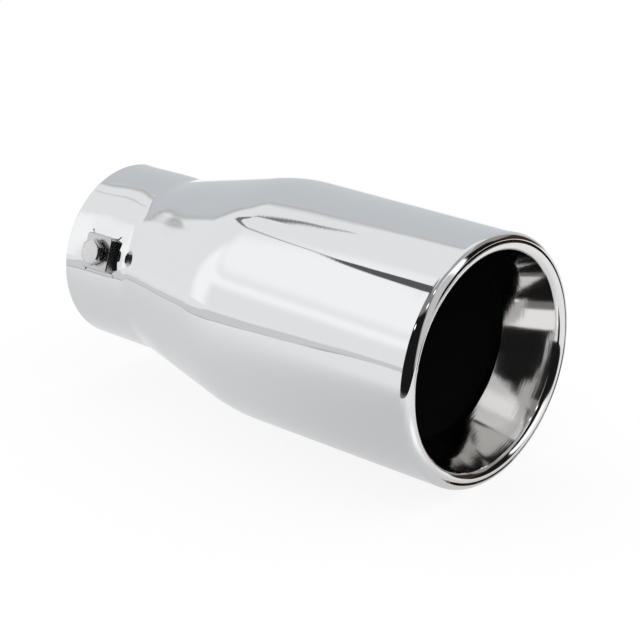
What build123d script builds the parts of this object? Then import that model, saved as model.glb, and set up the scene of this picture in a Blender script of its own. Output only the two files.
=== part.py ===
from build123d import *
import os
from math import atan2, cos, degrees, radians, sin, tan

os.makedirs("parts", exist_ok=True)

# Exhaust tip, polished stainless sheet. It lies with its axis along X: the inlet collar starts
# at the origin, the outlet faces +X, and +Z is up. Lengths are in mm and angles in degrees.

# outer shell, one sheet drawn and rolled
tip_length = 200.0        # inlet edge to the front of the rolled rim
outlet_r = 50.8           # outside radius of the body
inlet_r = 38.0            # outside radius of the inlet collar
shell_wall = 1.5          # sheet thickness
collar_length = 35.5      # straight collar that takes the tail pipe
taper_end = 91.5          # where the flare would meet the body without its blend
collar_blend = 19.0       # radius of the bend from collar to flare
body_blend = 90.0         # radius of the bend from flare to body

# rolled rim, shared by the shell's curl and the liner's lip
roll_r = 3.6              # outside radius of the roll
curl_end = 18.0           # shell's curl stops here, measured from the forward direction
lip_start = 2.0           # liner's lip starts here, so the two leave an open seam
roll_bands = 6            # flat bands that stand for each arc of the roll, to keep it light
hidden_bands = 2          # the same for the curl's inside
hem_gap = 0.05            # clearance between the curl and the hem tucked under it
hem_end = 54.0            # how far the liner's hem runs back inside the curl
web_start = -40.0         # where the liner starts its step in from the lip to the hem
web_end = -23.0

# inner liner, spun cone behind the lip
liner_wall = 1.2
cone_angle = 18.0         # half angle of the cone
cone_depth = 21.0         # along the axis, from the end of the lip's roll
neck_bend = 0.5           # half the band that eases the cone into its short neck
neck_length = 2.5

# pressed boss for the clamp bolt
bolt_x = 21.0             # bolt axis, from the inlet edge
bolt_clock = 19.0         # how far the bolt points above the horizontal, on the -Y side
boss_size = 15.0          # the square's outside
boss_rise = 2.9           # flat face above the collar
boss_corner = 1.2         # corner radius of the square, seen from above
boss_edge = 0.5           # bevel round the flat face
hole_clearance = 0.3      # between bolt and boss, all round
slit_length = 2.6         # tear reliefs at the boss's corners
slit_width = 0.7

# clamp bolt and its captive nut
thread_r = 3.0            # M6
bolt_length = 5.0         # under the head
tip_clearance = 0.1       # bolt's tip stays this far outside the pipe's bore
head_flats = 10.0
head_height = 3.4
head_top_d = 9.5          # flat left on top inside the chamfer
washer_face = 0.35        # raised round face under the head
washer_d = 9.2
chamfer_angle = 30.0
tip_chamfer = 0.6
nut_thickness = 2.4
nut_clearance = 0.2       # between the nut's flats and the boss's walls
thread_clearance = 0.05

# tack weld that ties the lip to the curl
tack_clock = -122.0       # round the axis, from +Y towards +Z
tack_length = 4.3
tack_r = 0.85
tack_end = 0.4            # bevel of the bead's ends
tack_sink = 0.7           # its centre below the roll's surface

# worked out
roll_x = tip_length - roll_r
roll_centre_r = outlet_r - roll_r
collar_bore_r = inlet_r - shell_wall
boss_face_r = inlet_r + boss_rise
curl_inner_r = roll_r - shell_wall
hem_outer_r = curl_inner_r - hem_gap
hem_inner_r = hem_outer_r - liner_wall
lip_inner_r = roll_r - liner_wall
base = (Align.CENTER, Align.CENTER, Align.MIN)
seam_middle = (curl_end + lip_start) / 2
flare_angle = degrees(atan2(outlet_r - inlet_r, taper_end - collar_length))


def on_roll(radius, angle):
    """A point of the section, at this radius and angle about the roll's centre."""
    return (roll_x + radius * cos(radians(angle)), roll_centre_r + radius * sin(radians(angle)))


def roll_line(radius, start, end, bands):
    """Points along an arc about the roll's centre, joined by flat bands."""
    return [on_roll(radius, start + (end - start) * count / bands) for count in range(bands + 1)]


def spin(edges):
    """The section, drawn in X and radius, turned once about the tip's axis."""
    return revolve(Plane.XZ * make_face(edges), Axis.X, 360)


def shell_of_revolution():
    outside = FilletPolyline(
        (0, inlet_r), (collar_length, inlet_r), (taper_end, outlet_r), (roll_x, outlet_r),
        radius=[collar_blend, body_blend])
    # the inside follows one wall thickness in, with a flat in place of the body's blend
    shift = shell_wall * tan(radians(flare_angle / 2))
    ease = body_blend * tan(radians(flare_angle / 2)) / 2
    corner = (taper_end + shift, outlet_r - shell_wall)
    rise = (ease * cos(radians(flare_angle)), ease * sin(radians(flare_angle)))
    inside = Polyline(
        *roll_line(roll_r, 90, curl_end, roll_bands),
        *roll_line(curl_inner_r, curl_end, 90, hidden_bands),
        (corner[0] + ease, corner[1]),
        (corner[0] - rise[0], corner[1] - rise[1]),
        (collar_length + shift, collar_bore_r),
        (0, collar_bore_r),
        (0, inlet_r))
    return spin([*outside.edges(), *inside.edges()])


def boss_plane():
    """Its origin is on the axis, and its Z runs out along the clamp bolt."""
    lean = radians(180 - bolt_clock)
    return Plane(origin=(bolt_x, 0, 0), x_dir=(1, 0, 0), z_dir=(0, cos(lean), sin(lean)))


def upright(sketch, low, high):
    """The sketch raised between two distances from the axis, on the boss's plane."""
    return boss_plane() * Pos(0, 0, low) * extrude(sketch, high - low)


def make_shell():
    shell = shell_of_revolution()
    bore = Rot(0, 90, 0) * Cylinder(collar_bore_r, collar_length, align=base)
    foot = collar_bore_r - shell_wall
    square = RectangleRounded(boss_size, boss_size, boss_corner)
    block = extrude(Pos(0, 0, foot) * square, boss_face_r - foot)
    block = chamfer(block.edges().group_by(Axis.Z)[-1], boss_edge)
    shell += boss_plane() * block - bore

    inside = boss_size - 2 * shell_wall
    pocket = RectangleRounded(inside, inside, boss_corner / 2)
    shell -= upright(pocket, foot, boss_face_r - shell_wall)
    shell -= upright(Circle(thread_r + hole_clearance), foot, boss_face_r)
    for across, along in ((1, 1), (1, -1), (-1, 1), (-1, -1)):
        corner = boss_size / 2 - boss_corner * (1 - cos(radians(45)))
        reach = (slit_length - slit_width) / 2 * cos(radians(45))
        slit = Rectangle(slit_length, slit_width, rotation=45 * across * along)
        place = Pos(across * (corner + reach), along * (corner + reach))
        shell -= upright(place * slit, foot, inlet_r + slit_width)
    return shell


def make_liner():
    lean = radians(cone_angle)
    cone_start = on_roll(roll_r, cone_angle - 90)
    cone_end = (cone_start[0] - cone_depth, cone_start[1] - cone_depth * tan(lean))
    neck_x = cone_end[0] - neck_length
    back = liner_wall * tan(lean / 2)
    outline = Polyline(
        (neck_x, cone_end[1]),
        (cone_end[0] - neck_bend, cone_end[1]),
        (cone_end[0] + neck_bend * cos(lean), cone_end[1] + neck_bend * sin(lean)),
        *roll_line(roll_r, cone_angle - 90, lip_start, roll_bands),
        on_roll(hem_outer_r, lip_start),
        on_roll(hem_outer_r, hem_end),
        on_roll(hem_inner_r, hem_end),
        on_roll(hem_inner_r, web_end),
        on_roll(lip_inner_r, web_start),
        on_roll(lip_inner_r, cone_angle - 90),
        (cone_end[0] - back, cone_end[1] + liner_wall),
        (neck_x, cone_end[1] + liner_wall),
        close=True)
    return spin(outline.edges())


def make_nut():
    top = boss_face_r - shell_wall
    side = boss_size - 2 * shell_wall - 2 * nut_clearance
    plate = Rectangle(side, side) - Circle(thread_r + thread_clearance)
    return upright(plate, top - nut_thickness, top)


def make_bolt():
    tip = collar_bore_r + tip_clearance
    seat = tip + bolt_length
    hexagon_height = head_height - washer_face
    prism = extrude(RegularPolygon(head_flats / 2, 6, major_radius=False, rotation=30), hexagon_height)
    spread = hexagon_height / tan(radians(chamfer_angle))
    dome = Cone(head_top_d / 2 + spread, head_top_d / 2, hexagon_height, align=base)
    head = Pos(0, 0, seat + washer_face) * (prism & dome)
    collar = upright(Circle(washer_d / 2), seat, seat + washer_face)
    shank = extrude(Pos(0, 0, tip) * Circle(thread_r), bolt_length)
    shank = chamfer(shank.edges().group_by(Axis.Z)[0], tip_chamfer)
    return boss_plane() * (head + shank) + collar


def make_tack(shell, liner):
    """A bead of weld along the seam, shaped by the two edges that it joins."""
    x, r = on_roll(roll_r - tack_sink, seam_middle)
    bead = Cylinder(tack_r, tack_length)
    bead = chamfer(bead.edges().filter_by(GeomType.CIRCLE), tack_end)
    bead = Rot(tack_clock, 0, 0) * Pos(x, r, 0) * bead
    return bead - shell - liner


outer_shell = make_shell()
inner_liner = make_liner()
nodes = {
    "outer_shell": outer_shell,
    "inner_liner": inner_liner,
    "square_nut": make_nut(),
    "clamp_bolt": make_bolt(),
    "seam_tack": make_tack(outer_shell, inner_liner),
}
for name, shape in nodes.items():
    export_step(shape, f"parts/{name}.step")
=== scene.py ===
from math import acos, atan2, ceil, cos, pi, radians, sin, tan

import bmesh
import bpy
from mathutils import Matrix, Vector, noise


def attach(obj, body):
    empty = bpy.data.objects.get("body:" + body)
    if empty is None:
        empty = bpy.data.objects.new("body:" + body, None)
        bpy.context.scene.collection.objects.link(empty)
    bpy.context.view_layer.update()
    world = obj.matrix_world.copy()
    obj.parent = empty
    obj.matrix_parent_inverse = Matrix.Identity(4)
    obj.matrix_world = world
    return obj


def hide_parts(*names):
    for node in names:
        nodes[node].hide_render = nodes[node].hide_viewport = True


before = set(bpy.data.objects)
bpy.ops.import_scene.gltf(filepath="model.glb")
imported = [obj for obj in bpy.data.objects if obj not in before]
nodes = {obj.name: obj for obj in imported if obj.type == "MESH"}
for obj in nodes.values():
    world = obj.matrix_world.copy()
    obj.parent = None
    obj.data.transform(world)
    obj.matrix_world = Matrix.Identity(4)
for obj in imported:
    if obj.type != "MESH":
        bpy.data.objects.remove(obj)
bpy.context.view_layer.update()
mm = 0.001
print("frame loaded")

# the two turned sheets, in mm along X from the inlet edge, and in degrees round the roll
tip = {
    "length": 200.0, "outletRadius": 50.8, "inletRadius": 38.0, "wall": 1.5,
    "collar": 35.5, "taperEnd": 91.5, "collarBend": 19.0, "bodyBend": 90.0,
    "roll": 3.6, "curlEnd": 18.0, "lipStart": 2.0, "inletRound": 0.35,
    "edgeRound": 0.3, "edgeTurn": 4.8,  # the cut edges' rounding, and its share of the roll
    "around": 288, "curlSteps": 30, "curlInsideSteps": 12, "lipSteps": 34,
    "outsideRows": 3.0, "insideRows": 8.0, "coneRows": 2.0,  # longest rows on the straights
}
# the open seam of the rolled rim
seam = {
    "clock": 186.0,  # where it is shut, in degrees round the tip
    "shut": 0.72, "open": 0.52,  # cosines of the angle from there, between which it opens
    "closing": 7.9,  # how far either edge moves, in degrees round the roll
    "curlHolds": 60, "lipHolds": -40,  # where on the roll the two sheets hold still
    "behind": 0.5,  # the part that moves starts this far behind the roll's centre, in mm
    "skin": 0.01,  # what still counts as the roll's outside, in mm
}
softBelow = {"sheet": 35, "bolt": 30, "thread": 50}  # degrees, below which an edge is smooth
rollX = tip["length"] - tip["roll"]
rollR = tip["outletRadius"] - tip["roll"]
bore = tip["inletRadius"] - tip["wall"]


def onRoll(radius, angle):
    return (rollX + radius * cos(radians(angle)), rollR + radius * sin(radians(angle)))


def rollArc(radius, start, end, steps):
    return [onRoll(radius, start + (end - start) * k / steps) for k in range(steps + 1)]


def quarterTurn(steps, first=0):
    return [k * pi / (2 * steps) for k in range(first, steps + 1)]


# The rounding of a sheet's cut edge, inwards from the roll's outside. The way is 1 for the liner's
# lip, whose angle grows towards the seam, and -1 for the shell's curl.
def cutEdge(stop, way):
    return [onRoll(tip["roll"] - tip["edgeRound"] * (1 - cos(a)),
                   stop + way * tip["edgeTurn"] * sin(a)) for a in quarterTurn(6, 1)]


# Corner points with the given bend radii, as a fine line.
def roundedPath(points, radii, degreesPerStep=1.0):
    line = [Vector(points[0])]
    for before, corner, after, radius in zip(points, points[1:], points[2:], radii):
        before, corner, after = Vector(before), Vector(corner), Vector(after)
        inward, outward = (before - corner).normalized(), (after - corner).normalized()
        half = acos(max(-1, min(1, inward.dot(outward)))) / 2
        reach = radius / tan(half)
        centre = corner + (inward + outward).normalized() * (radius / sin(half))
        first, last = corner + inward * reach - centre, corner + outward * reach - centre
        turn = atan2(first.x * last.y - first.y * last.x, first.dot(last))
        steps = max(3, ceil(abs(turn) / radians(degreesPerStep)))
        for k in range(steps + 1):
            a = turn * k / steps
            line.append(centre + Vector((first.x * cos(a) - first.y * sin(a),
                                         first.x * sin(a) + first.y * cos(a))))
    line.append(Vector(points[-1]))
    return line


# Extra rows on long straights, so that smooth normals stay true in the mirror finish.
def withRows(line, longest, narrow=0.4):
    rows = [Vector(line[0])]
    for a, b in zip(line, line[1:]):
        a, b = Vector(a), Vector(b)
        span = (b - a).length
        count = max(1, ceil(span / longest))
        if count > 2:
            lead = min(narrow, span / 8) / span  # a narrow row next to each bend
            rows.append(a.lerp(b, lead))
            rows += [a.lerp(b, lead + (1 - 2 * lead) * k / count) for k in range(1, count)]
            rows.append(a.lerp(b, 1 - lead))
        rows.append(b)
    return rows


def meshFrom(name, bm, smooth=True):
    bmesh.ops.recalc_face_normals(bm, faces=bm.faces)
    for face in bm.faces:
        face.smooth = smooth
    mesh = bpy.data.meshes.new(name)
    bm.to_mesh(mesh)
    bm.free()
    thing = bpy.data.objects.new(name, mesh)
    bpy.context.scene.collection.objects.link(thing)
    return thing


# Closed section turned about X. Each strip is (points in mm, material index).
def turned(name, strips, around, finishes, touching=1e-4):
    bm = bmesh.new()
    points, slots = [], []
    for line, slot in strips:
        for p in line:
            if points and (Vector(p) - points[-1]).length < touching:
                continue
            points.append(Vector(p))
            slots.append(slot)
    if (points[0] - points[-1]).length < touching:
        points.pop()
        slots.pop()
    rings = []
    for p in points:
        ring = []
        for k in range(around):
            a = 2 * pi * k / around
            ring.append(bm.verts.new((p.x * mm, p.y * cos(a) * mm, p.y * sin(a) * mm)))
        rings.append(ring)
    count = len(rings)
    for j in range(count):
        low, high = rings[j], rings[(j + 1) % count]
        for k in range(around):
            n = (k + 1) % around
            face = bm.faces.new((low[k], low[n], high[n], high[k]))
            face.material_index = slots[(j + 1) % count]
    thing = meshFrom(name, bm)
    for finish in finishes:
        thing.data.materials.append(finish)
    return thing


# Modifiers applied for good.
def settle(thing):
    bpy.context.view_layer.update()
    graph = bpy.context.evaluated_depsgraph_get()
    mesh = bpy.data.meshes.new_from_object(thing.evaluated_get(graph))
    old = thing.data
    thing.modifiers.clear()
    thing.data = mesh
    mesh.name = thing.name
    bpy.data.meshes.remove(old)


def carve(thing, tool, operation):
    step = thing.modifiers.new(operation.lower(), "BOOLEAN")
    step.operation = operation
    step.solver = "EXACT"
    step.material_mode = "TRANSFER"
    step.object = tool
    settle(thing)
    bpy.data.objects.remove(tool)


# The seam of the rim stands open at the top, the bottom and the right, and closes on the left,
# as the liner sits a little to that side. This moves one sheet's edge towards the other's, round
# the roll's own centre. The sheet holds still at holdAngle.
def closeSeam(thing, edgeAngle, holdAngle, moved):
    for v in thing.data.vertices:
        if v.co.x < (rollX - seam["behind"]) * mm:
            continue
        r = (v.co.y ** 2 + v.co.z ** 2) ** 0.5
        clock = atan2(v.co.z, v.co.y)
        shut = cos(clock - radians(seam["clock"]))
        shut = max(0, min(1, (shut - seam["open"]) / (seam["shut"] - seam["open"])))
        shut = shut * shut * (3 - 2 * shut)
        away, up = v.co.x / mm - rollX, r / mm - rollR
        reach, angle = (away ** 2 + up ** 2) ** 0.5, atan2(up, away)
        t = (angle - radians(holdAngle)) / radians(edgeAngle - holdAngle)
        t = max(0, min(1, t))
        angle += radians(moved) * shut * t * t
        if reach > tip["roll"] - tip["edgeRound"] - seam["skin"]:
            reach += (tip["roll"] - reach) * shut  # the rounded edge fills out where the two meet
        x, radius = rollX + reach * cos(angle), rollR + reach * sin(angle)
        v.co = Vector((x * mm, radius * mm * cos(clock), radius * mm * sin(clock)))


def smoothByAngle(thing, angle):
    for face in thing.data.polygons:
        face.use_smooth = True
    thing.data.set_sharp_from_angle(angle=radians(angle))


def newMaterial(name):
    material = bpy.data.materials.new(name)
    material.use_nodes = True
    tree = material.node_tree
    return material, tree, tree.nodes["Principled BSDF"]


def link(tree, a, b):
    tree.links.new(a, b)


# what every finish shares: detail of its waves, lines and smear, and their depths in m
polishing = {
    "waveDetail": 0.4, "waveDepth": 0.003, "lineStretch": (1.0, 0.03, 0.03), "lineDetail": 3.0,
    "lineDepth": 0.0001, "smearScale": 45.0, "smearDetail": 4.0,
}


# Slow waves of the rolled sheet, fine polishing lines and a little smear, on the surface.
def polishGroup():
    group = bpy.data.node_groups.new("polishedSheet", "ShaderNodeTree")
    face = group.interface
    for title, value in (("Wave Scale", 30.0), ("Wave Height", 0.1), ("Line Scale", 900.0),
                         ("Line Height", 0.05), ("Smear", 0.03), ("Base Roughness", 0.05)):
        socket = face.new_socket(title, in_out="INPUT", socket_type="NodeSocketFloat")
        socket.default_value = value
    face.new_socket("Roughness", in_out="OUTPUT", socket_type="NodeSocketFloat")
    face.new_socket("Normal", in_out="OUTPUT", socket_type="NodeSocketVector")
    add = group.nodes.new
    come, leave = add("NodeGroupInput"), add("NodeGroupOutput")
    where = add("ShaderNodeTexCoord")
    waves = add("ShaderNodeTexNoise")
    waves.inputs["Detail"].default_value = polishing["waveDetail"]
    link(group, where.outputs["Object"], waves.inputs["Vector"])
    link(group, come.outputs["Wave Scale"], waves.inputs["Scale"])
    stretch = add("ShaderNodeMapping")
    stretch.inputs["Scale"].default_value = polishing["lineStretch"]
    link(group, where.outputs["Object"], stretch.inputs["Vector"])
    lines = add("ShaderNodeTexNoise")
    lines.inputs["Detail"].default_value = polishing["lineDetail"]
    link(group, stretch.outputs["Vector"], lines.inputs["Vector"])
    link(group, come.outputs["Line Scale"], lines.inputs["Scale"])
    smear = add("ShaderNodeTexNoise")
    smear.inputs["Scale"].default_value = polishing["smearScale"]
    smear.inputs["Detail"].default_value = polishing["smearDetail"]
    link(group, where.outputs["Object"], smear.inputs["Vector"])
    rough = add("ShaderNodeMath")
    rough.operation = "MULTIPLY_ADD"
    link(group, smear.outputs["Fac"], rough.inputs[0])
    link(group, come.outputs["Smear"], rough.inputs[1])
    link(group, come.outputs["Base Roughness"], rough.inputs[2])
    link(group, rough.outputs[0], leave.inputs["Roughness"])
    slow = add("ShaderNodeBump")
    slow.inputs["Distance"].default_value = polishing["waveDepth"]
    link(group, come.outputs["Wave Height"], slow.inputs["Strength"])
    link(group, waves.outputs["Fac"], slow.inputs["Height"])
    fine = add("ShaderNodeBump")
    fine.inputs["Distance"].default_value = polishing["lineDepth"]
    link(group, come.outputs["Line Height"], fine.inputs["Strength"])
    link(group, lines.outputs["Fac"], fine.inputs["Height"])
    link(group, slow.outputs["Normal"], fine.inputs["Normal"])
    link(group, fine.outputs["Normal"], leave.inputs["Normal"])
    return group


polish = polishGroup()


def placePolish(tree, settings):
    use = tree.nodes.new("ShaderNodeGroup")
    use.node_tree = polish
    for title, value in settings.items():
        use.inputs[title].default_value = value
    return use


def steel(name, colour, settings):
    material, tree, shader = newMaterial(name)
    shader.inputs["Base Color"].default_value = (*colour, 1)
    shader.inputs["Metallic"].default_value = 1.0
    use = placePolish(tree, settings)
    link(tree, use.outputs["Roughness"], shader.inputs["Roughness"])
    link(tree, use.outputs["Normal"], shader.inputs["Normal"])
    return material


# The sheet is wavier where it was drawn in: fully so on the collar, and no more past the flare,
# with both places in m along X.
drawnIn = {"fullUpTo": 0.05, "goneFrom": 0.085, "height": 0.38}


def wavyCollar(material):
    tree = material.node_tree
    use = next(n for n in tree.nodes if n.type == "GROUP")
    where, split = tree.nodes.new("ShaderNodeTexCoord"), tree.nodes.new("ShaderNodeSeparateXYZ")
    along = tree.nodes.new("ShaderNodeMapRange")
    along.inputs["From Min"].default_value = drawnIn["fullUpTo"]
    along.inputs["From Max"].default_value = drawnIn["goneFrom"]
    along.inputs["To Min"].default_value = drawnIn["height"]
    along.inputs["To Max"].default_value = use.inputs["Wave Height"].default_value
    link(tree, where.outputs["Object"], split.inputs[0])
    link(tree, split.outputs["X"], along.inputs["Value"])
    link(tree, along.outputs["Result"], use.inputs["Wave Height"])
    return material


mirrorSteel = wavyCollar(steel("mirrorSteel", (0.73, 0.737, 0.75), {
    "Wave Scale": 42.0, "Wave Height": 0.03, "Line Scale": 900.0, "Line Height": 0.03,
    "Smear": 0.02, "Base Roughness": 0.02}))
linerSteel = steel("linerSteel", (0.74, 0.735, 0.73), {
    "Wave Scale": 60.0, "Wave Height": 0.07, "Line Scale": 1400.0, "Line Height": 0.08,
    "Smear": 0.05, "Base Roughness": 0.04})
platedSteel = steel("platedSteel", (0.60, 0.60, 0.60), {
    "Wave Scale": 300.0, "Wave Height": 0.03, "Line Scale": 3000.0, "Line Height": 0.1,
    "Smear": 0.10, "Base Roughness": 0.16})
pressedSteel = steel("pressedSteel", (0.50, 0.50, 0.505), {
    "Wave Scale": 90.0, "Wave Height": 0.17, "Line Scale": 900.0, "Line Height": 0.1,
    "Smear": 0.10, "Base Roughness": 0.12})
# painted shade: the hidden faces inside the rim's seam are dark brown, for the crevice between the
# two sheets
paintedSeamShade = steel("paintedSeamShade", (0.16, 0.085, 0.055), {
    "Wave Scale": 300.0, "Wave Height": 0.1, "Line Scale": 1400.0, "Line Height": 0.2,
    "Smear": 0.2, "Base Roughness": 0.35})
weldMetal = steel("weldMetal", (0.20, 0.15, 0.12), {
    "Wave Scale": 900.0, "Wave Height": 0.17, "Line Scale": 2500.0, "Line Height": 0.4,
    "Smear": 0.3, "Base Roughness": 0.30})

# the inside, with painted shade that darkens it between two distances from the inlet in m, which
# the mottle moves to and fro
inside = {
    "steel": (0.42, 0.41, 0.40, 1), "paintedShade": (0.010, 0.010, 0.010, 1), "shadeFrom": 0.022,
    "shadeFull": 0.065, "mottleShift": 0.02, "mottleScale": 60.0, "mottleDetail": 5.0,
    "shadeRoughness": 0.5, "specular": 0.12,
    "polish": {"Wave Scale": 40.0, "Wave Height": 0.07, "Line Scale": 600.0,
               "Line Height": 0.2, "Smear": 0.2, "Base Roughness": 0.3},
}


# Plain steel inside the collar, going dark with painted shade, and dull, further in.
def insideFinish():
    material, tree, shader = newMaterial("paintedShadeInside")
    add = tree.nodes.new
    use = placePolish(tree, inside["polish"])
    where, split = add("ShaderNodeTexCoord"), add("ShaderNodeSeparateXYZ")
    mottle = add("ShaderNodeTexNoise")
    mottle.inputs["Scale"].default_value = inside["mottleScale"]
    mottle.inputs["Detail"].default_value = inside["mottleDetail"]
    link(tree, where.outputs["Object"], split.inputs[0])
    link(tree, where.outputs["Object"], mottle.inputs["Vector"])
    drift = add("ShaderNodeMath")
    drift.operation = "MULTIPLY_ADD"
    drift.inputs[1].default_value = inside["mottleShift"]
    link(tree, mottle.outputs["Fac"], drift.inputs[0])
    link(tree, split.outputs["X"], drift.inputs[2])
    depth = add("ShaderNodeMapRange")
    depth.inputs["From Min"].default_value = inside["shadeFrom"]
    depth.inputs["From Max"].default_value = inside["shadeFull"]
    link(tree, drift.outputs[0], depth.inputs["Value"])
    # painted shade: the steel's colour goes to near black deeper inside the tube
    paintedShade = add("ShaderNodeMix")
    paintedShade.data_type = "RGBA"
    paintedShade.inputs["A"].default_value = inside["steel"]
    paintedShade.inputs["B"].default_value = inside["paintedShade"]
    link(tree, depth.outputs["Result"], paintedShade.inputs["Factor"])
    link(tree, paintedShade.outputs["Result"], shader.inputs["Base Color"])
    dull = add("ShaderNodeMapRange")
    dull.inputs["To Min"].default_value = 1.0
    dull.inputs["To Max"].default_value = 0.0
    link(tree, depth.outputs["Result"], dull.inputs["Value"])
    link(tree, dull.outputs["Result"], shader.inputs["Metallic"])
    rough = add("ShaderNodeMath")
    rough.operation = "MULTIPLY_ADD"
    rough.inputs[1].default_value = inside["shadeRoughness"]
    link(tree, depth.outputs["Result"], rough.inputs[0])
    link(tree, use.outputs["Roughness"], rough.inputs[2])
    link(tree, rough.outputs[0], shader.inputs["Roughness"])
    link(tree, use.outputs["Normal"], shader.inputs["Normal"])
    shader.inputs["Specular IOR Level"].default_value = inside["specular"]
    return material


darkInside = insideFinish()
print("finishes made")

# outer shell: collar, flare, body and curl, with the metal's own thickness
outerLine = roundedPath(
    [(0, tip["inletRadius"]), (tip["collar"], tip["inletRadius"]),
     (tip["taperEnd"], tip["outletRadius"]), (rollX, tip["outletRadius"])],
    [tip["collarBend"], tip["bodyBend"]], degreesPerStep=0.5)
flare = atan2(tip["outletRadius"] - tip["inletRadius"], tip["taperEnd"] - tip["collar"])
shift = tip["wall"] * tan(flare / 2)
bodyBore = tip["outletRadius"] - tip["wall"]
innerLine = roundedPath(
    [(0, bore), (tip["collar"] + shift, bore),
     (tip["taperEnd"] + shift, bodyBore), (rollX, bodyBore)],
    [tip["collarBend"] - tip["wall"], tip["bodyBend"] - tip["wall"]])
inletR = tip["inletRound"]
outerLine[0] = Vector((inletR, tip["inletRadius"]))
innerLine[0] = Vector((inletR, bore))
inletEdge = [(inletR - inletR * sin(a), bore + inletR - inletR * cos(a)) for a in quarterTurn(5)]
inletEdge += [(inletR - inletR * cos(a), tip["inletRadius"] - inletR + inletR * sin(a))
              for a in quarterTurn(5)]
curlStop = tip["curlEnd"] + tip["edgeTurn"]
curl = rollArc(tip["roll"], 90, curlStop, tip["curlSteps"])
curlInner = tip["roll"] - tip["wall"]
shell = turned("exhaustShell", [
    (inletEdge, 0),
    (withRows(outerLine, tip["outsideRows"]), 0),
    (curl + cutEdge(curlStop, -1), 0),
    ([onRoll(curlInner, tip["curlEnd"])], 1),
    (rollArc(curlInner, tip["curlEnd"], 90, tip["curlInsideSteps"]), 1),
    (withRows(innerLine, tip["insideRows"])[::-1], 2),
], tip["around"], (mirrorSteel, paintedSeamShade, darkInside))
closeSeam(shell, tip["curlEnd"], seam["curlHolds"], -seam["closing"])
print("shell turned", len(shell.data.polygons))

# pressed boss for the clamp bolt, with tear slits at its corners
boss = {
    "x": 21.0, "clock": 19.0, "size": 15.0, "rise": 2.9, "corner": 1.2, "edge": 0.55,
    "slitLength": 2.6, "slitWidth": 0.7, "slitRise": 0.7, "hole": 3.3, "pocketCorner": 0.6,
    "sunk": 0.6,  # the pressing's walls start this far above the bore
}
lean = radians(180 - boss["clock"])
bossOut = Vector((0, cos(lean), sin(lean)))
bossSide = bossOut.cross(Vector((1, 0, 0)))
bossFrame = Matrix((
    (1, 0, 0, boss["x"] * mm),
    (0, bossSide.y, bossOut.y, 0),
    (0, bossSide.z, bossOut.z, 0),
    (0, 0, 0, 1)))
bossFace = tip["inletRadius"] + boss["rise"]


def roundedSquare(size, corner, steps=6):
    half = size / 2 - corner
    outline = []
    for quarter, (sx, sy) in enumerate(((1, 1), (-1, 1), (-1, -1), (1, -1))):
        for k in range(steps + 1):
            a = quarter * pi / 2 + k * pi / 2 / steps
            outline.append((sx * half + corner * cos(a), sy * half + corner * sin(a)))
    return outline


# Walls between rings of as many points each, and a face at either end.
def closeRings(bm, rings):
    for low, high in zip(rings, rings[1:]):
        for k in range(len(low)):
            n = (k + 1) % len(low)
            bm.faces.new((low[k], low[n], high[n], high[k]))
    bm.faces.new(reversed(rings[0]))
    bm.faces.new(rings[-1])


# Stacked outlines, placed on the boss. Each level is (outline, height), in mm from the tip's axis.
def prism(name, levels, finish=mirrorSteel):
    bm = bmesh.new()
    closeRings(bm, [[bm.verts.new((x * mm, y * mm, height * mm)) for x, y in outline]
                    for outline, height in levels])
    thing = meshFrom(name, bm)
    thing.data.materials.append(finish)
    thing.data.transform(bossFrame)
    return thing


def upright(outline, low, high):
    return [(outline, low), (outline, high)]


def circle(radius, steps=64):
    turns = [2 * pi * k / steps for k in range(steps)]
    return [(radius * cos(a), radius * sin(a)) for a in turns]


foot = bore - tip["wall"]
levels = [(roundedSquare(boss["size"], boss["corner"]), bore + boss["sunk"])]
for a in quarterTurn(5):
    inset = boss["edge"] * (1 - cos(a))
    levels.append((roundedSquare(boss["size"] - 2 * inset, boss["corner"] - inset),
                   bossFace - boss["edge"] + boss["edge"] * sin(a)))
carve(shell, prism("bossBlock", levels, pressedSteel), "UNION")
pocket = roundedSquare(boss["size"] - 2 * tip["wall"], boss["pocketCorner"])
carve(shell, prism("pocket", upright(pocket, foot, bossFace - tip["wall"])), "DIFFERENCE")
carve(shell, prism("hole", upright(circle(boss["hole"]), foot, bossFace + 1)), "DIFFERENCE")

# one slit with round ends, then turned and moved to each corner of the square
half, width = (boss["slitLength"] - boss["slitWidth"]) / 2, boss["slitWidth"] / 2
slit = [(side * half + width * cos(a), width * sin(a))
        for side in (1, -1) for a in [-side * pi / 2 + k * pi / 8 for k in range(9)]]
reach = boss["size"] / 2 - boss["corner"] * (1 - cos(pi / 4)) + half * cos(pi / 4)
for sx, sy in ((1, 1), (1, -1), (-1, 1), (-1, -1)):
    turn = pi / 4 if sx * sy > 0 else -pi / 4
    placed = [(x * cos(turn) - y * sin(turn) + sx * reach,
               x * sin(turn) + y * cos(turn) + sy * reach) for x, y in slit]
    cutter = prism("slit", upright(placed, foot, tip["inletRadius"] + boss["slitRise"]))
    carve(shell, cutter, "DIFFERENCE")
smoothByAngle(shell, softBelow["sheet"])
print("boss pressed", len(shell.data.polygons))

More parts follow.
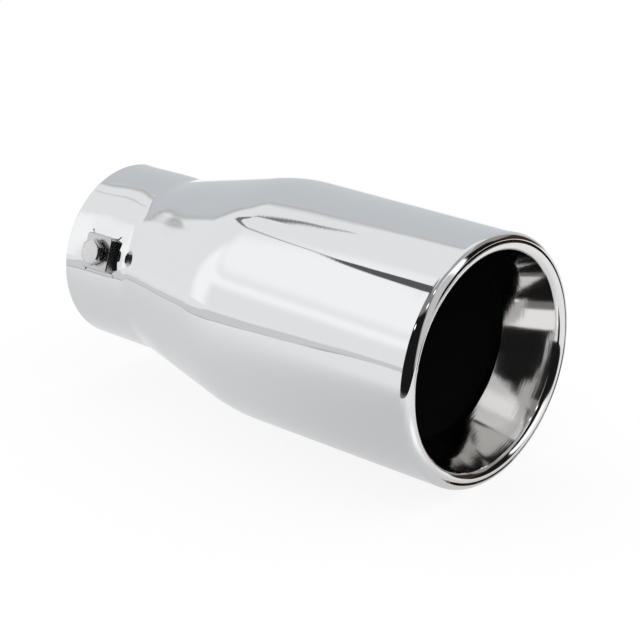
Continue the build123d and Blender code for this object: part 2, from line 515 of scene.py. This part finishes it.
# inner liner: lip, cone and short neck, and the hem under the curl
liner = {
    "wall": 1.2, "angle": 18.0, "depth": 21.0, "bend": 2.0, "neck": 2.5,
    "hemOuter": 2.05, "hemInner": 0.85, "hemEnd": 54.0, "webStart": -40.0, "webEnd": -23.0,
}
coneStart = Vector(onRoll(tip["roll"], liner["angle"] - 90))
coneEnd = coneStart - Vector((liner["depth"], liner["depth"] * tan(radians(liner["angle"]))))
neckX = coneEnd.x - liner["neck"]
coneLine = roundedPath([(neckX, coneEnd.y), coneEnd, coneStart], [liner["bend"]],
                       degreesPerStep=1.5)
lipStop = tip["lipStart"] - tip["edgeTurn"]
lip = rollArc(tip["roll"], liner["angle"] - 90, lipStop, tip["lipSteps"])
back = liner["wall"] * tan(radians(liner["angle"] / 2))
lipInner = tip["roll"] - liner["wall"]
hem = [onRoll(radius, angle) for radius, angle in (
    (liner["hemOuter"], tip["lipStart"]), (liner["hemOuter"], liner["hemEnd"]),
    (liner["hemInner"], liner["hemEnd"]), (liner["hemInner"], liner["webEnd"]),
    (lipInner, liner["webStart"]), (lipInner, liner["angle"] - 90))]
lining = turned("conicalLiner", [
    (withRows(coneLine, tip["coneRows"]), 0),
    (lip + cutEdge(lipStop, 1), 0),
    (hem, 1),
    ([(coneEnd.x - back, coneEnd.y + liner["wall"]), (neckX, coneEnd.y + liner["wall"])], 1),
], tip["around"], (linerSteel, paintedSeamShade))
closeSeam(lining, tip["lipStart"], seam["lipHolds"], seam["closing"])
smoothByAngle(lining, softBelow["sheet"])
print("liner turned", len(lining.data.polygons))

# clamp bolt: chamfered hexagon head, washer face and a cut thread
bolt = {
    "tip": bore + 0.1, "seat": bore + 5.1, "flats": 10.0, "head": 3.4, "top": 9.2, "slope": 30,
    "washer": 0.35, "washerD": 9.2, "thread": 3.0, "pitch": 1.0, "depth": 0.55, "flank": 1.25,
    "tipTaper": 0.6, "threadRows": 66, "threadSides": 48, "overlap": 0.01,
    "softEdge": 0.12, "softAbove": 12,  # the rounding of edges that turn by more degrees than this
}
headLow = bolt["seat"] + bolt["washer"]
headHigh = bolt["seat"] + bolt["head"]
cornerR = bolt["flats"] / 2 / cos(pi / 6)
turns = [pi / 6 + k * pi / 3 for k in range(6)]
hexagon = [(cornerR * cos(a), cornerR * sin(a)) for a in turns]
head = prism("boltHead", upright(hexagon, headLow, headHigh))
spread = (headHigh - headLow) / tan(radians(bolt["slope"]))
carve(head, prism("dome", [(circle(bolt["top"] / 2 + spread, 96), headLow - bolt["overlap"]),
                           (circle(bolt["top"] / 2, 96), headHigh)]), "INTERSECT")
bevel = head.modifiers.new("soft", "BEVEL")
bevel.width = bolt["softEdge"] * mm
bevel.segments = 3
bevel.limit_method = "ANGLE"
bevel.angle_limit = radians(bolt["softAbove"])
settle(head)
smoothByAngle(head, softBelow["bolt"])
washer = upright(circle(bolt["washerD"] / 2), bolt["seat"], headLow + bolt["overlap"])
collarRing = prism("boltCollar", washer)
smoothByAngle(collarRing, softBelow["bolt"])


# The shank, as rings whose points stand nearer to or further from the bolt's axis along a helix.
def cutThread():
    bm = bmesh.new()
    rows, sides = bolt["threadRows"], bolt["threadSides"]
    rings = []
    for j in range(rows + 1):
        height = bolt["tip"] + (bolt["seat"] - bolt["tip"]) * j / rows
        up = height - bolt["tip"]
        lead = max(0.0, bolt["tipTaper"] - up)
        ring = []
        for k in range(sides):
            a = 2 * pi * k / sides
            phase = (up / bolt["pitch"] + k / sides) % 1.0
            cut = bolt["depth"] * min(1.0, bolt["flank"] * (1 - abs(2 * phase - 1)))
            radius = min(bolt["thread"] - cut, bolt["thread"] - lead)
            ring.append(bm.verts.new((radius * cos(a) * mm, radius * sin(a) * mm, height * mm)))
        rings.append(ring)
    closeRings(bm, rings)
    thing = meshFrom("boltThread", bm)
    thing.data.transform(bossFrame)
    smoothByAngle(thing, softBelow["thread"])
    return thing


shank = cutThread()
print("bolt made")

# tack weld on the rim's seam: a small lumpy bead
tack = {
    "clock": -122.0, "length": 4.3, "radius": 0.85, "sink": 0.7,
    "lumps": ((1.3, 1.1, 3, 0.10), (4, 3.5, 0, 0.12)),  # noise across, along, its start and depth
}
tackX, tackR = onRoll(tip["roll"] - tack["sink"], (tip["curlEnd"] + tip["lipStart"]) / 2)
bm = bmesh.new()
bmesh.ops.create_icosphere(bm, subdivisions=5, radius=1)
for v in bm.verts:
    p = v.co.copy()
    length = p.z * tack["length"] / 2
    lump = 1
    for across, along, start, depth in tack["lumps"]:
        place = Vector((p.x * across, p.y * across, length * along + start))
        lump -= depth * abs(noise.noise(place))
    v.co = Vector((p.x * tack["radius"] * lump, p.y * tack["radius"] * lump, length))
bead = meshFrom("seamBead", bm)
bead.data.transform(
    Matrix.Rotation(radians(tack["clock"]), 4, "X") @
    Matrix.Translation(Vector((tackX, tackR, 0)) * mm) @ Matrix.Scale(mm, 4))
print("tack laid")

# each piece with its finish, where it hasn't got one yet, the CAD node it stands for, and its slot
pieces = (
    (shell, None, "outer_shell", "polished_shell"),
    (lining, None, "inner_liner", "polished_liner"),
    (bead, weldMetal, "seam_tack", "weld_metal"),
    (head, platedSteel, "clamp_bolt", "plated_bolt"),
    (collarRing, platedSteel, "clamp_bolt", "plated_bolt"),
    (shank, platedSteel, "clamp_bolt", "plated_bolt"),
)
for thing, finish, node, slotName in pieces:
    if finish:
        thing.data.materials.clear()
        thing.data.materials.append(finish)
    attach(thing, "root")
    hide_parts(node)
for slot in nodes["square_nut"].material_slots:
    slot.material = platedSteel
print("materials set")

# studio: white floor and world, and cards round it that only the mirror finish shows
floorZ = -tip["outletRadius"] * mm
studio = {
    "centre": Vector((0.2, 0, 0)), "radius": 1.2,  # of the dome that the far cards lie on
    "grid": 1.5, "fineGrid": 0.3,  # size of a far card's cells in degrees, fine for a sharp edge
    "nearEdge": 0.185,  # where the white sheet ends in front of the outlet, as the rim shows it
    "from": -118, "to": 30,  # the part in front, in degrees round, that has no sheet in reflections
    "far": 3, "cornerDrop": 0.1,  # the sheet's ends, and how far its front right end is moved
    "sheetGrey": 0.17, "sheetRoughness": 0.9,
    "lift": 0.84,  # the sheet's own white, so that the shadow on it stays faint
}


def stagePlane(name, outline, z=floorZ):
    bm = bmesh.new()
    bm.faces.new([bm.verts.new((x, y, z)) for x, y in outline])
    thing = meshFrom(name, bm, False)
    return thing


def floorMaterial():
    material, tree, shader = newMaterial("whiteSheet")
    grey = studio["sheetGrey"]
    shader.inputs["Base Color"].default_value = (grey, grey, grey, 1)
    shader.inputs["Roughness"].default_value = studio["sheetRoughness"]
    shader.inputs["Specular IOR Level"].default_value = 0.0
    shader.inputs["Emission Color"].default_value = (1, 1, 1, 1)
    path = tree.nodes.new("ShaderNodeLightPath")
    seen = path.outputs["Is Camera Ray"]
    for ray in ("Is Glossy Ray", "Is Transmission Ray"):
        both = tree.nodes.new("ShaderNodeMath")
        both.operation = "MAXIMUM"
        link(tree, seen, both.inputs[0])
        link(tree, path.outputs[ray], both.inputs[1])
        seen = both.outputs[0]
    lift = tree.nodes.new("ShaderNodeMath")
    lift.operation = "MULTIPLY"
    lift.inputs[1].default_value = studio["lift"]
    link(tree, seen, lift.inputs[0])
    link(tree, lift.outputs[0], shader.inputs["Emission Strength"])
    return material


# A card that glows evenly and fades out at its edges, by the mask in its mesh.
def glowCard(name, value, colour):
    material = bpy.data.materials.new(name)
    material.use_nodes = True
    tree = material.node_tree
    tree.nodes.clear()
    end = tree.nodes.new("ShaderNodeOutputMaterial")
    mix = tree.nodes.new("ShaderNodeMixShader")
    clear = tree.nodes.new("ShaderNodeBsdfTransparent")
    glow = tree.nodes.new("ShaderNodeEmission")
    mask = tree.nodes.new("ShaderNodeAttribute")
    mask.attribute_name = "cover"
    glow.inputs["Color"].default_value = (*colour, 1)
    glow.inputs["Strength"].default_value = value
    link(tree, mask.outputs["Fac"], mix.inputs[0])
    link(tree, clear.outputs[0], mix.inputs[1])
    link(tree, glow.outputs[0], mix.inputs[2])
    link(tree, mix.outputs[0], end.inputs["Surface"])
    return material


def onlyInReflections(thing):
    thing.visible_camera = False
    thing.visible_diffuse = False
    thing.visible_shadow = False


# Distance from the outline's nearest side, above zero inside it.
def inwardDistance(x, y, outline):
    inside, nearest = False, 1e9
    for (ax, ay), (bx, by) in zip(outline, outline[1:] + outline[:1]):
        if (ay > y) != (by > y) and x < (bx - ax) * (y - ay) / (by - ay) + ax:
            inside = not inside
        dx, dy = bx - ax, by - ay
        t = max(0, min(1, ((x - ax) * dx + (y - ay) * dy) / (dx * dx + dy * dy)))
        nearest = min(nearest, ((x - ax - t * dx) ** 2 + (y - ay - t * dy) ** 2) ** 0.5)
    return nearest if inside else -nearest


# A card of cells no larger than step, put in place point by point, with soft edges.
def softCard(name, outline, value, fade, colour, step, place):
    lowX, highX = min(p[0] for p in outline) - fade, max(p[0] for p in outline) + fade
    lowY, highY = min(p[1] for p in outline) - fade, max(p[1] for p in outline) + fade
    across, up = ceil((highX - lowX) / step), ceil((highY - lowY) / step)
    bm = bmesh.new()
    cover = bm.verts.layers.float.new("cover")
    grid = []
    for j in range(up + 1):
        row = []
        for k in range(across + 1):
            a, b = lowX + (highX - lowX) * k / across, lowY + (highY - lowY) * j / up
            v = bm.verts.new(place(a, b))
            t = max(0, min(1, 0.5 + inwardDistance(a, b, outline) / (2 * fade)))
            v[cover] = t * t * (3 - 2 * t)
            row.append(v)
        grid.append(row)
    for low, high in zip(grid, grid[1:]):
        for k in range(across):
            four = (low[k], low[k + 1], high[k + 1], high[k])
            if max(v[cover] for v in four) > 0:
                bm.faces.new(four)
    bmesh.ops.delete(bm, geom=[v for v in bm.verts if not v.link_faces], context="VERTS")
    thing = meshFrom(name, bm, False)
    thing.data.materials.append(glowCard(name, value, colour))
    onlyInReflections(thing)


# A place on a dome round the outlet, from degrees round and up.
def onDome(radius):
    return lambda a, e: studio["centre"] + radius * Vector((
        cos(radians(e)) * cos(radians(a)), cos(radians(e)) * sin(radians(a)), sin(radians(e))))


def onFloor(height):
    return lambda x, y: Vector((x, y, floorZ + height))


# A place on an upright plane in front of the outlet, across the tip's axis.
def hanging(x):
    return lambda y, z: Vector((x, y, z))


# the sheet that the tip lies on; in front it ends where the rim's reflection shows its edge
sheet = floorMaterial()
far, edge = studio["far"], studio["nearEdge"]
front = [(studio["centre"].x + edge * cos(radians(a)), edge * sin(radians(a)))
         for a in range(studio["from"], studio["to"] + 1, 4)]
leftEnd = (studio["centre"].x - far / tan(radians(180 + studio["from"])), -far)
rightEnd = (far, far * tan(radians(studio["to"])) - studio["cornerDrop"])
nearOutline = [(-far, far), (-far, -far), leftEnd] + front + [rightEnd, (far, far)]
nearFloor = stagePlane("nearSheet", nearOutline)
farFloor = stagePlane("farSheet", [leftEnd, (far, -far), rightEnd] + front[::-1])
farFloor.visible_glossy = False
for thing in (nearFloor, farFloor):
    thing.data.materials.append(sheet)

white, warmWhite = (1, 1, 1), (1, 0.98, 0.96)
farCards = (
    # name, outline in degrees round and up, brightness, fade, colour, extra distance
    ("darkRoom", [
        (-118, -40), (-60, -40), (30, -40), (28, -14), (12, -4), (3, 4), (-8, 14), (-17, 25),
        (-29, 34), (-40, 41), (-62, 47), (-90, 47), (-116, 43), (-128, 38), (-124, 28), (-118, 14)],
     0.012, 2.0, white, 0.05),
    ("dimCeiling", [
        (-128, 33), (-133, 41), (-139, 45), (-147, 49), (-154, 52), (-164, 56), (-165, 61),
        (-150, 66), (-116, 64), (-80, 63), (-55, 62), (-38, 56), (-29, 46), (-24, 36), (-18, 25),
        (-30, 28), (-60, 40), (-90, 40), (-118, 36)],
     0.27, 2.5, (1, 0.97, 0.95), 0.07),
    ("sideSoftbox", [
        (-16, 33), (-6, 19), (3, 8), (12, -2), (28, -3), (30, 30), (30, 58), (0, 66), (-24, 66),
        (-36, 61), (-30, 51), (-20, 42)],
     1.35, 2.5, white, 0.10),
    ("brownCard", [
        (31, 1), (88, 1), (88, 24), (60, 27), (33, 23)],
     0.05, 2.5, (1, 0.62, 0.45), 0.0),
    ("coneShade", [
        (31, -8), (58, -8), (58, 40), (46, 47), (38, 52), (30, 52)],
     0.01, 1.0, white, -0.02),
    ("warmGrey", [(30, 0), (92, 0), (92, 62), (30, 60)], 0.36, 4.0, (1, 0.93, 0.88), 0.12),
    ("ceiling", [
        (-118, 52), (-90, 55), (-62, 56), (-45, 50), (-32, 46), (-22, 58), (0, 66), (30, 63),
        (95, 64), (110, 89), (-118, 89)],
     0.42, 7.0, (1, 1, 1.02), 0.14),
    ("greyBackdrop", [
        (92, -8), (186, -8), (186, 18), (178, 23), (173, 29), (168, 36), (160, 40), (152, 41.5),
        (141, 42.5), (120, 46), (92, 48)],
     0.70, 1.5, (0.96, 1, 1.03), 0.16),
    ("backdropEdge", [
        (182, 20.5), (176, 23), (171, 30), (166, 37), (158, 40.4), (150, 41.5), (138, 42.6),
        (138, 45), (150, 43.8), (160, 43), (168, 39.5), (173.5, 32), (178, 25.5), (184, 23)],
     0.58, 1.6, warmWhite, 0.02),
    ("highPanel", [
        (-157, 39), (-152, 31), (-145, 25), (-139, 23), (-120, 23), (-120, 44), (-140, 52),
        (-169, 54), (-163, 46)],
     1.18, 5.0, white, 0.12),
    ("lowPanel", [
        (-150, -8), (-141.5, -8), (-141, 12), (-137, 13.5), (-120, 13), (-120, 19), (-137, 19.5),
        (-143, 21), (-150, 29), (-156, 33), (-155, 18)],
     1.20, 3.0, white, 0.13),
    ("boxCorner", [
        (-181.6, 38.0), (-180.4, 36.9), (-177.0, 38.9), (-172.5, 41.7), (-167, 45.2),
        (-161.5, 47.7), (-161.6, 47.9), (-167.2, 45.7), (-173.2, 42.7), (-177.5, 40.6),
        (-179.0, 41.2), (-180.2, 44.2), (-184.2, 46.6), (-190.8, 47.4), (-197, 48.3),
        (-197, 48.5), (-190.6, 48.3), (-183.8, 47.9), (-181.9, 45.5)],
     0.22, 0.45, white, 0.0),
    ("boxEdge", [
        (-162.0, 47.4), (-158.7, 47.3), (-155.2, 48.0), (-151.6, 49.4), (-143, 52), (-130, 54),
        (-130, 62), (-143, 58.5), (-159.3, 52.4), (-160.4, 50.4), (-161.2, 48.2)],
     0.12, 0.45, white, 0.0),
    ("horizon", [
        (-131, -3.4), (-131, -2.2), (-128.6, -0.9), (-127.2, 0.3), (-125.9, 0.9), (-119, 0.9),
        (-119, -3.4)],
     0.77, 0.4, white, 0.0),
)
# the room's small lamps behind the camera, in degrees round and up, each with six corners that
# stand a radian apart
lamp = {
    "places": ((-58, 63), (-56, 50), (-106, 35)), "corners": 6,
    "across": 4.5, "up": 2.2, "brightness": 4.5, "fade": 1.0, "grid": 0.6, "nearer": 0.02,
}
for a, e in lamp["places"]:
    outline = [(a + lamp["across"] * cos(k), e + lamp["up"] * sin(k))
               for k in range(lamp["corners"])]
    softCard("smallLamp", outline, lamp["brightness"], lamp["fade"], white, lamp["grid"],
             onDome(studio["radius"] - lamp["nearer"]))
for title, outline, value, fade, colour, reach in farCards:
    softCard(title, outline, value, fade, colour, studio["fineGrid" if fade < 1 else "grid"],
             onDome(studio["radius"] + reach))

nearCards = (
    # name, outline in m, brightness, fade, colour, size of its cells, where it lies
    # hides the far corner of the room from the collar
    ("collarScreen", [
        (-0.110, -0.072), (-0.038, -0.072), (-0.038, -0.014), (-0.110, -0.014)],
     1.0, 0.006, white, 0.004, onFloor(0.164)),
    # the next three are seen in the cone alone: its dark part, its lit patch and its grey foot
    ("coneShadow", [
        (0.008, -0.024), (0.001, -0.0135), (-0.009, -0.007), (-0.009, 0.012), (-0.006, 0.020),
        (0.014, 0.024), (0.034, 0.020), (0.032, -0.008), (0.020, -0.024)],
     0.01, 0.002, white, 0.001, hanging(0.230)),
    ("coneLight", [
        (0.232, 0.002), (0.268, 0.000), (0.272, -0.046), (0.250, -0.056), (0.232, -0.044)],
     1.25, 0.014, white, 0.005, onFloor(0.0020)),
    ("coneGrey", [
        (-0.044, 0.010), (-0.030, 0.013), (-0.020, 0.015), (-0.012, 0.018), (-0.006, 0.021),
        (-0.006, 0.024), (-0.011, 0.026), (-0.016, 0.034), (-0.020, 0.046), (-0.027, 0.062),
        (-0.041, 0.062), (-0.045, 0.030)],
     0.68, 0.002, warmWhite, 0.001, hanging(0.210)),
    # shade on the floor, close to the tip and in front of the outlet
    ("nearShade", [
        (-0.35, -0.13), (0.12, -0.13), (0.12, 0.05), (-0.35, 0.05)],
     0.78, 0.15, white, 0.025, onFloor(0.001)),
    ("frontShade", [
        (0.09, -0.17), (0.25, -0.16), (0.235, 0.03), (0.09, 0.04)],
     0.70, 0.07, white, 0.02, onFloor(0.0011)),
)
for card in nearCards:
    softCard(*card)

# the grey band on the floor beyond the sheet's fold, as strips between a near and a far line
bandNear = [
    (-0.26, -0.08), (-0.196, -0.126), (-0.137, -0.155), (-0.118, -0.20), (-0.104, -0.24),
    (-0.100, -0.286), (-0.114, -0.33), (-0.139, -0.389), (-0.18, -0.472), (-0.30, -0.65),
    (-0.43, -0.83), (-1.5, -2.4)]
bandFar = [
    (-0.40, -0.10), (-0.295, -0.166), (-0.262, -0.22), (-0.30, -0.33), (-0.41, -0.50),
    (-0.46, -0.70), (-0.523, -0.816), (-0.89, -1.308), (-2.0, -3.0)]
foldWidth, foldShift = 1.06, 0.006
fold = [(x * foldWidth - foldShift, y * foldWidth) for x, y in bandNear]
strips = (
    # name, outline in m, brightness, height above the floor
    ("sheetBand", bandNear + bandFar[::-1], 0.77, 0.0005),
    ("sheetFold", bandNear + fold[::-1], 0.58, 0.0007),
)
for title, outline, value, height in strips:
    strip = stagePlane(title, outline, floorZ + height)
    cover = strip.data.attributes.new("cover", "FLOAT", "POINT")
    for item in cover.data:
        item.value = 1.0
    strip.data.materials.append(glowCard(title, value, white))
    onlyInReflections(strip)

world = bpy.data.worlds.new("studio")
bpy.context.scene.world = world
world.use_nodes = True
sky = world.node_tree.nodes["Background"]
sky.inputs["Color"].default_value = (1, 1, 1, 1)
sky.inputs["Strength"].default_value = 1.0

# the photo's own view, fitted to its outline
photoView = {
    "lens": 116.82, "sensor": 36.0,
    "place": ((0.7432, -0.2396, 0.6247, 0.6402), (0.6691, 0.2662, -0.6939, -0.5868),
              (0.0, 0.9336, 0.3582, 0.2982), (0, 0, 0, 1)),
}
camera = bpy.data.objects.new("camera", bpy.data.cameras.new("camera"))
bpy.context.scene.collection.objects.link(camera)
camera.data.lens = photoView["lens"]
camera.data.sensor_width = photoView["sensor"]
camera.matrix_world = Matrix(photoView["place"])
bpy.context.scene.camera = camera
bpy.context.scene.view_settings.view_transform = "Standard"
print("studio ready")
